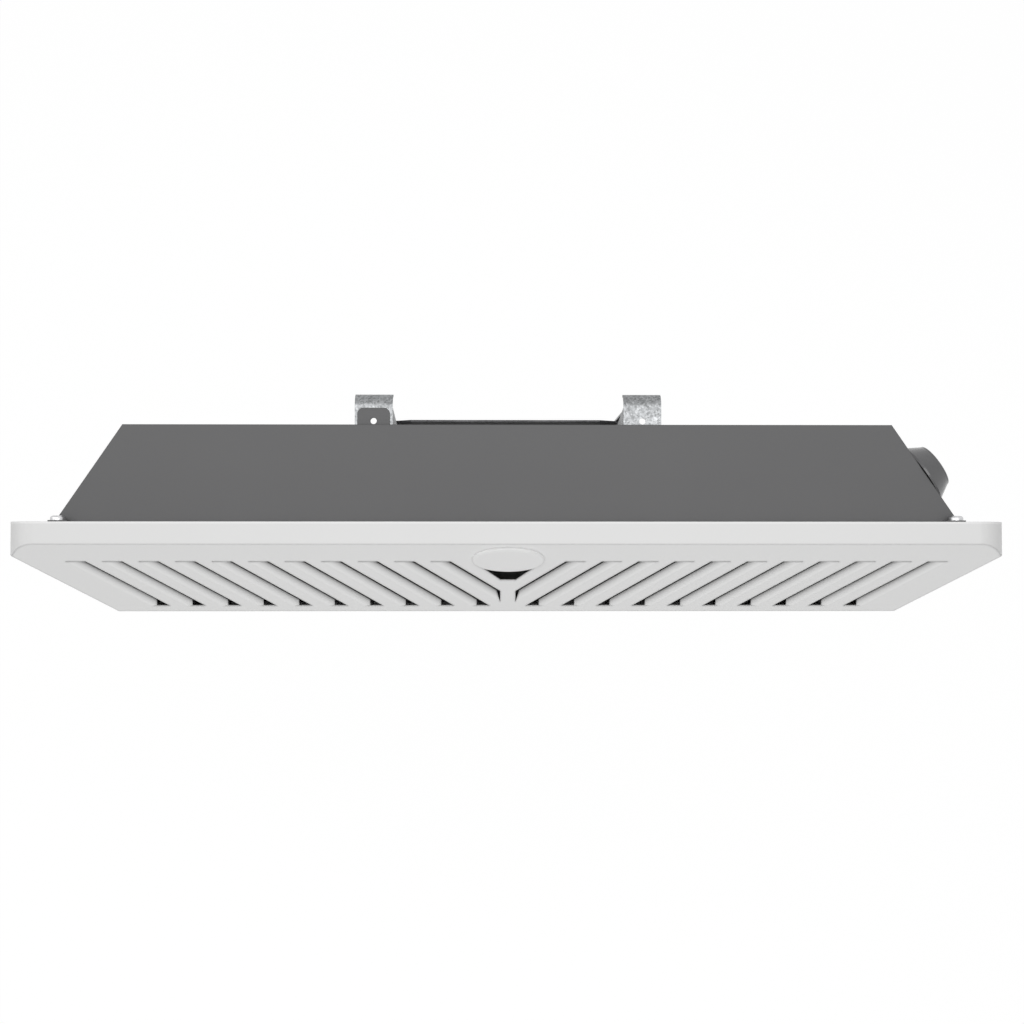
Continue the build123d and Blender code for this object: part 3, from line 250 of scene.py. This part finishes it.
def panel_painted_light(tree, vector, tone):
    """Painted shade in the louvre hollows and along the creases, and a painted highlight on the back
    edge.
    """
    place = tree.nodes.new("ShaderNodeSeparateXYZ")
    tree.links.new(vector, place.inputs["Vector"])
    geometry = tree.nodes.new("ShaderNodeNewGeometry")
    facing = tree.nodes.new("ShaderNodeSeparateXYZ")
    tree.links.new(geometry.outputs["Normal"], facing.inputs["Vector"])
    height = tree.nodes.new("ShaderNodeVectorMath")
    height.operation = "DOT_PRODUCT"
    height.inputs[1].default_value = FACET_NORMAL
    tree.links.new(vector, height.inputs[0])

    back = spread(tree, place.outputs["Y"], *BACK_EDGE)
    forward = spread(tree, place.outputs["Y"], *CREASES)
    field = spread(tree, place.outputs["Y"], *LOUVRE_FIELD)
    deep = spread(tree, height.outputs["Value"], *HOLLOWS)
    upward = spread(tree, facing.outputs["Z"], *FACING_UP)
    crease = edge_mask(tree, CREASE_R, *CREASE_TURN)

    # Painted highlight along the back edge
    tone = tint(tree, tone, back, BACK_EDGE_HIGHLIGHT)
    # Painted shade in the louvre hollows, where the recess is shaded
    tone = tint(tree, tone, product(tree, deep, field, upward), HOLLOW_SHADE)
    # Painted shade line along the creases
    return tint(tree, tone, product(tree, crease, forward), CREASE_SHADE)


# Finishes. A direction below 1 draws the rolling lines out along that axis.
WHITE = (0.80, 0.80, 0.797)
ALONG_X = (0.1, 1, 1)

# The panel's white carries painted shade in its hollows and creases and a painted highlight on its
# back edge
white = powder_coat(
    "white_enamel", WHITE, drift_range=0.006, grain=900.0, depth=0.00005, rough=0.42, coat=0.15,
    painted_light=panel_painted_light,
)
badge_white = powder_coat(
    "badge_enamel", WHITE, drift_range=0.006, grain=900.0, depth=0.00003, rough=0.38, coat=0.2
)
grey = powder_coat(
    "grey_enamel", (0.114, 0.114, 0.116), drift_range=0.003, grain=1100.0, depth=0.00006, rough=0.55
)
galvanised = bare_metal(
    "galvanised", (0.29, 0.297, 0.303), spangle=900.0, rough=0.42, direction=(1, 1, 0.4),
    low=0.6, high=1.3,
)
# Cross strip: its near-black base is painted shade, far darker than bare zinc
strip_metal_painted_shade = bare_metal(
    "strip_zinc_painted_shade", (0.07, 0.07, 0.072), spangle=700.0, rough=0.45, direction=ALONG_X, low=0.8, high=1.2
)
zinc_sheet = bare_metal("zinc_sheet", (0.60, 0.61, 0.62), spangle=110.0, rough=0.40, direction=ALONG_X)
fixings = bare_metal("zinc_fixings", (0.66, 0.66, 0.67), spangle=900.0, rough=0.30)
aluminium = bare_metal(
    "aluminium", (0.74, 0.74, 0.76), spangle=700.0, rough=0.34, direction=(0.05, 1, 1)
)
element_steel = bare_metal(
    "element_steel", (0.34, 0.33, 0.33), spangle=500.0, rough=0.42, direction=ALONG_X
)
brass = bare_metal("shaft_brass", (0.72, 0.55, 0.28), spangle=900.0, rough=0.28)
ceramic = plastic("bush_ceramic", (0.80, 0.77, 0.70), rough=0.55, grain=1200.0)
black = plastic("black_plastic", (0.040, 0.040, 0.042), rough=0.46)
knob_black = plastic(
    "knob_plastic", (0.086, 0.086, 0.089), rough=0.3, grain=2200.0, depth=0.00002, coat=0.5
)
rocker_black = plastic("rocker_plastic", (0.035, 0.035, 0.037), rough=0.2, depth=0.00001, coat=0.4)
ivory = plastic("block_plastic", (0.78, 0.77, 0.70), rough=0.5)
brown = plastic("wire_brown", (0.16, 0.065, 0.03), rough=0.5)
blue = plastic("wire_blue", (0.03, 0.09, 0.34), rough=0.5)
green = plastic("wire_green", (0.20, 0.42, 0.06), rough=0.5)

dress(white, "front_panel")
dress(badge_white, "badge")
dress(grey, "back_housing", "lock_plate")
dress(galvanised, "bracket_left", "bracket_right", "bracket_rivets")
dress(strip_metal_painted_shade, "cross_strip")
dress(zinc_sheet, "air_deflector", "partition", "carrier_left", "carrier_right")
dress(zinc_sheet, "cutout_clip", "inlet_guard")
dress(fixings, "panel_screws", "inner_rivets", "earth_stud", "thermostat_nut")
dress(aluminium, "element_fins")
dress(element_steel, "element_core", "element_pins")
dress(ceramic, "element_bushes")
dress(black, "thermostat_body", "cable_gland", "gland_nut", "switch_body", "cutout")
dress(knob_black, "control_knob")
dress(rocker_black, "rocker")
dress(brass, "thermostat_shaft")
dress(ivory, "terminal_block")
dress(brown, "wire_supply", "wire_switched", "wire_heat", "wire_cutout")
dress(blue, "wire_neutral")
dress(green, "wire_earth")

# Studio: white floor and background, soft lights
FLOOR_SIZE = 16
FLOOR_DROP = 1.2
FLOOR_GREY = 0.8
SHADOW_GREY = 0.16
FLOOR_GLOW = 0.9
SKY_LIGHT = 0.42
HEATER_MIDDLE = Vector((0, -0.08, 0))


def seen_rays(tree):
    """Value of 1 for rays from the camera and for those that metal and gloss reflect."""
    path = tree.nodes.new("ShaderNodeLightPath")
    result = path.outputs["Is Camera Ray"]
    for ray in ("Is Glossy Ray", "Is Transmission Ray"):
        node = tree.nodes.new("ShaderNodeMath")
        node.operation = "MAXIMUM"
        tree.links.new(result, node.inputs[0])
        tree.links.new(path.outputs[ray], node.inputs[1])
        result = node.outputs["Value"]
    return result


def white_ground():
    """Floor that looks white, keeps a faint shadow and lights the heater as pale grey would."""
    material = bpy.data.materials.new("studio_floor")
    material.use_nodes = True
    tree = material.node_tree
    tree.nodes.clear()
    output = tree.nodes.new("ShaderNodeOutputMaterial")
    mix = tree.nodes.new("ShaderNodeMixShader")
    diffuse = tree.nodes.new("ShaderNodeBsdfDiffuse")
    diffuse.inputs["Color"].default_value = (FLOOR_GREY, FLOOR_GREY, FLOOR_GREY, 1)
    shadowed = tree.nodes.new("ShaderNodeBsdfDiffuse")
    shadowed.inputs["Color"].default_value = (SHADOW_GREY, SHADOW_GREY, SHADOW_GREY, 1)
    glow = tree.nodes.new("ShaderNodeEmission")
    glow.inputs["Color"].default_value = (1, 1, 1, 1)
    glow.inputs["Strength"].default_value = FLOOR_GLOW
    seen = tree.nodes.new("ShaderNodeAddShader")
    tree.links.new(shadowed.outputs["BSDF"], seen.inputs[0])
    tree.links.new(glow.outputs["Emission"], seen.inputs[1])
    tree.links.new(seen_rays(tree), mix.inputs["Fac"])
    tree.links.new(diffuse.outputs["BSDF"], mix.inputs[1])
    tree.links.new(seen.outputs["Shader"], mix.inputs[2])
    tree.links.new(mix.outputs["Shader"], output.inputs["Surface"])
    return material


lowest = cad_box[0].z
bpy.ops.mesh.primitive_plane_add(size=FLOOR_SIZE, location=(0, 0, lowest - FLOOR_DROP))
floor = bpy.context.object
floor.name = "studio_floor"
floor.data.materials.append(white_ground())

scene = bpy.context.scene
world = scene.world or bpy.data.worlds.new("studio")
scene.world = world
world.use_nodes = True
air = world.node_tree
sky = air.nodes["Background"]
sky.inputs["Color"].default_value = (1, 1, 1, 1)
sky.inputs["Strength"].default_value = SKY_LIGHT
backdrop = air.nodes.new("ShaderNodeBackground")
backdrop.inputs["Color"].default_value = (1, 1, 1, 1)
backdrop.inputs["Strength"].default_value = 1.0
choice = air.nodes.new("ShaderNodeMixShader")
air.links.new(seen_rays(air), choice.inputs["Fac"])
air.links.new(sky.outputs["Background"], choice.inputs[1])
air.links.new(backdrop.outputs["Background"], choice.inputs[2])
air.links.new(choice.outputs["Shader"], air.nodes["World Output"].inputs["Surface"])


def soft_light(name, place, size, power):
    """Rectangular lamp that points at the middle of the heater."""
    data = bpy.data.lights.new(name, "AREA")
    data.shape = "RECTANGLE"
    data.size, data.size_y = size
    data.energy = power
    light = bpy.data.objects.new(name, data)
    bpy.context.collection.objects.link(light)
    light.location = place
    light.rotation_euler = (HEATER_MIDDLE - Vector(place)).to_track_quat("-Z", "Y").to_euler()


soft_light("key_light", place=(0.1, 0.2, 2.1), size=(1.8, 1.2), power=16.2)
soft_light("fill_light", place=(-1.6, 0.5, 1.3), size=(1.2, 1.2), power=5.0)
soft_light("front_light", place=(0.0, -2.2, 0.5), size=(2.0, 1.2), power=10.0)

# Camera: fitted to the photograph's edges, louvre tips and bracket
CAMERA_PLACE = Vector((-0.0135, -0.1163, 1.2011))
CAMERA_TILT = math.radians(2.022)
CAMERA_YAW = math.radians(0.818)
CAMERA_ROLL = math.radians(0.028)
FOCUS_PIXELS = 1730.0
PHOTO_PIXELS = 1024
SENSOR_WIDTH = 36.0
VIEW_DEPTH = 50.0

ahead = Vector((0, math.sin(CAMERA_TILT), -math.cos(CAMERA_TILT)))
right = Vector((1, 0, 0))
up = right.cross(ahead)
gaze = ahead * math.cos(CAMERA_YAW) + right * math.sin(CAMERA_YAW)
side = right * math.cos(CAMERA_YAW) - ahead * math.sin(CAMERA_YAW)
side_rolled = side * math.cos(CAMERA_ROLL) + up * math.sin(CAMERA_ROLL)
up_rolled = up * math.cos(CAMERA_ROLL) - side * math.sin(CAMERA_ROLL)
camera_data = bpy.data.cameras.new("photo_camera")
camera = bpy.data.objects.new("photo_camera", camera_data)
bpy.context.collection.objects.link(camera)
camera_data.sensor_width = SENSOR_WIDTH
camera_data.lens = FOCUS_PIXELS / PHOTO_PIXELS * SENSOR_WIDTH
camera_data.clip_end = VIEW_DEPTH
turn = Matrix((side_rolled, up_rolled, -gaze)).transposed().to_4x4()
camera.matrix_world = Matrix.Translation(CAMERA_PLACE) @ turn
scene.camera = camera
scene.view_settings.view_transform = "Standard"
